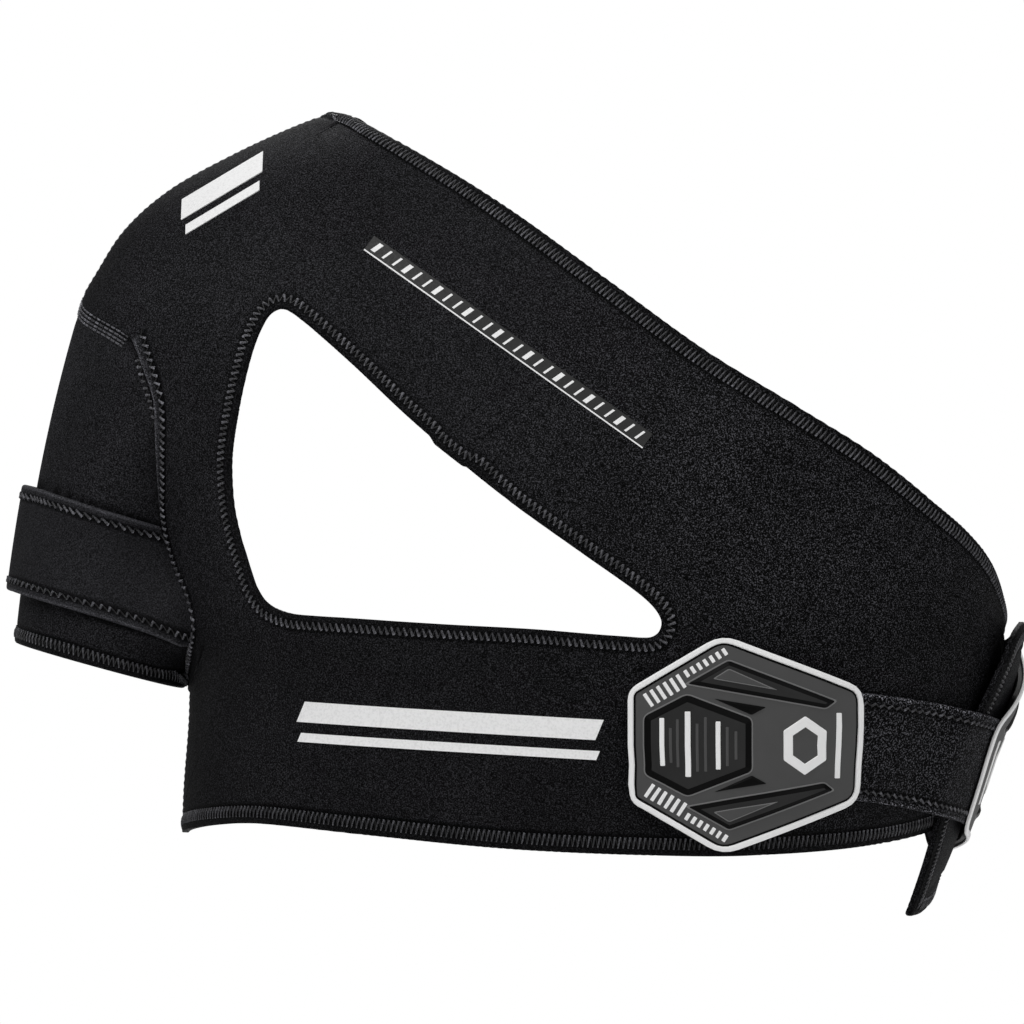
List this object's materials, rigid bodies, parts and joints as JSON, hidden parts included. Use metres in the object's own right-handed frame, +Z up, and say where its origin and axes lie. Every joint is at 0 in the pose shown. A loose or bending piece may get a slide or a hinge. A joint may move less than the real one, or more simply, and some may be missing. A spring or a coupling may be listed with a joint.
{
  "type": "neoprene shoulder support",
  "caption": "Black neoprene shoulder support: an open chest wrap with an upper-arm sleeve and strap, closed at the far side by a strap between moulded rubber patches.",
  "frame": {"origin": "top of the supported shoulder, on the middle of the wrap, where it sits on the wearer", "axes": "+Z up, the wearer faces -Y, +X from the supported right shoulder across the chest to the other side"},
  "size_m": [0.4797, 0.2411, 0.377],
  "materials": {
    "neoprene": "matt, fine-grained",
    "strap": "matt, smooth-napped",
    "patch_rubber": "satin moulded"
  },
  "bodies": {
    "root": {"front_panel": "neoprene", "back_panel": "neoprene", "sleeve": "neoprene", "arm_strap": "strap", "side_strap": "strap", "front_patch": "patch_rubber", "back_patch": "patch_rubber"}
  },
  "joints": []
}
